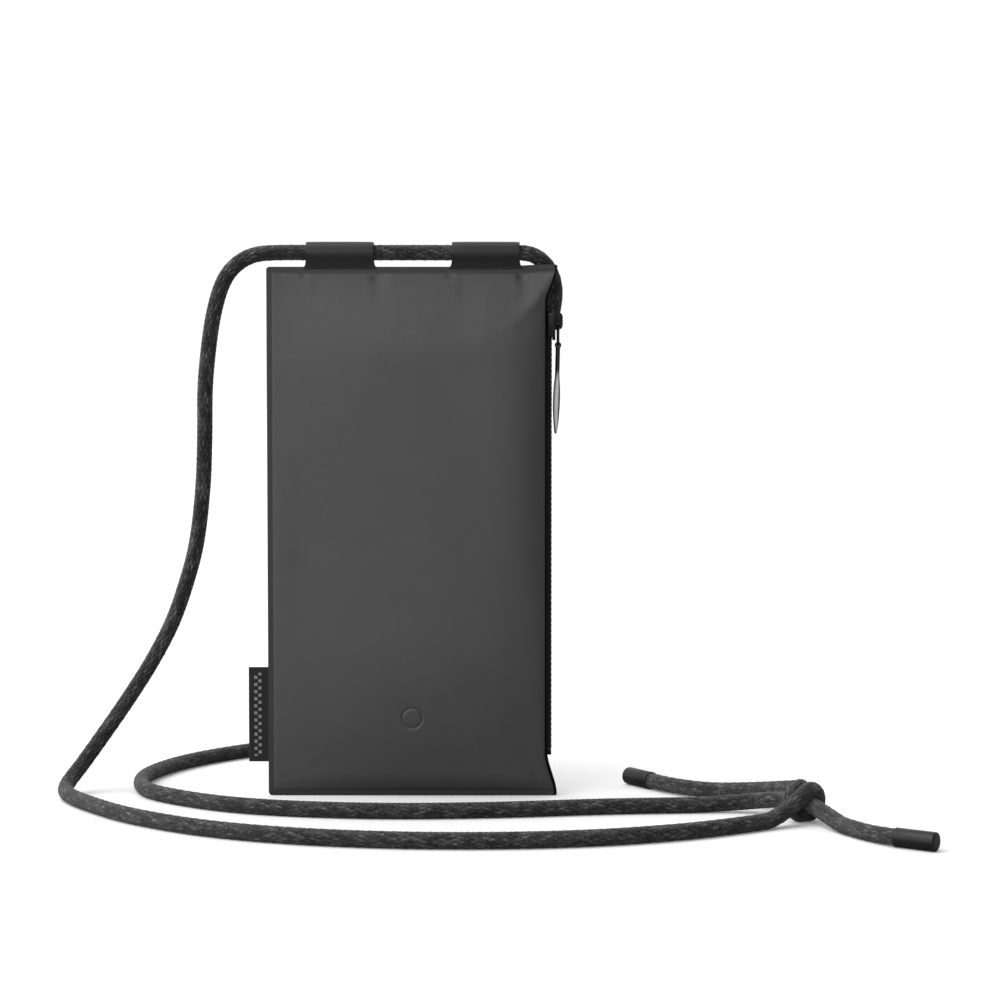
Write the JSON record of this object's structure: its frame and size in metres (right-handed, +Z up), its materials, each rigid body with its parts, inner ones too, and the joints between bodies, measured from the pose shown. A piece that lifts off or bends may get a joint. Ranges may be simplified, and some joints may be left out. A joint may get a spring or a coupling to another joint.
{
  "type": "neck pouch wallet",
  "caption": "Flat upright leather phone pouch with a side zip and pull, two cord loops on its top edge and a long braided neck cord with a sliding knot and metal tips.",
  "frame": {"origin": "on the surface the pouch stands on, below the middle of the pouch with its side tag and zip slider", "axes": "+X across the pouch towards the zip, +Y through its thickness towards the back, +Z up along its height"},
  "size_m": [0.3024, 0.2101, 0.201],
  "materials": {
    "leather": "matte",
    "foam": "matte",
    "lining": "matte",
    "zip_tape": "matte",
    "zip_teeth": "satin",
    "dark_metal": "satin",
    "ribbon": "matte",
    "cord": "matte"
  },
  "bodies": {
    "pouch": {"front_panel": "leather", "back_panel": "leather", "front_padding": "foam", "back_padding": "foam", "front_lining": "lining", "back_lining": "lining", "card_pocket": "lining", "zip_tape_front": "zip_tape", "zip_tape_back": "zip_tape", "zip_teeth_front": "zip_teeth", "zip_teeth_back": "zip_teeth", "zip_top_stops": "dark_metal", "zip_bottom_stop": "dark_metal", "left_cord_loop": "leather", "right_cord_loop": "leather", "neck_cord_left": "cord", "neck_cord_right": "cord", "cord_knot": "cord", "cord_tip_left": "dark_metal", "cord_tip_right": "dark_metal"},
    "slider": {"zip_slider": "dark_metal"},
    "link": {"pull_link": "dark_metal"},
    "pull": {"zip_pull": "dark_metal"},
    "tag": {"side_tag": "ribbon"}
  },
  "joints": [
    {"name": "zip_slide", "type": "slide", "parent": "pouch", "child": "slider", "axis": [0, 0, -1], "range_m": [0, 0.124]},
    {"name": "link_swing", "type": "hinge", "parent": "slider", "child": "link", "pos_m": [0.05545, 0, 0.1709], "axis": [0, -1, 0], "range_deg": [0, 125]},
    {"name": "pull_swing", "type": "hinge", "parent": "link", "child": "pull", "pos_m": [0.05545, 0, 0.1637], "axis": [0, -1, 0], "range_deg": [0, 45]},
    {"name": "tag_flex", "type": "hinge", "parent": "pouch", "child": "tag", "pos_m": [-0.0503, 0, 0.03], "axis": [0, 0, 1], "range_deg": [-80, 80], "stiffness_Nm_per_rad": 0.00002}
  ]
}
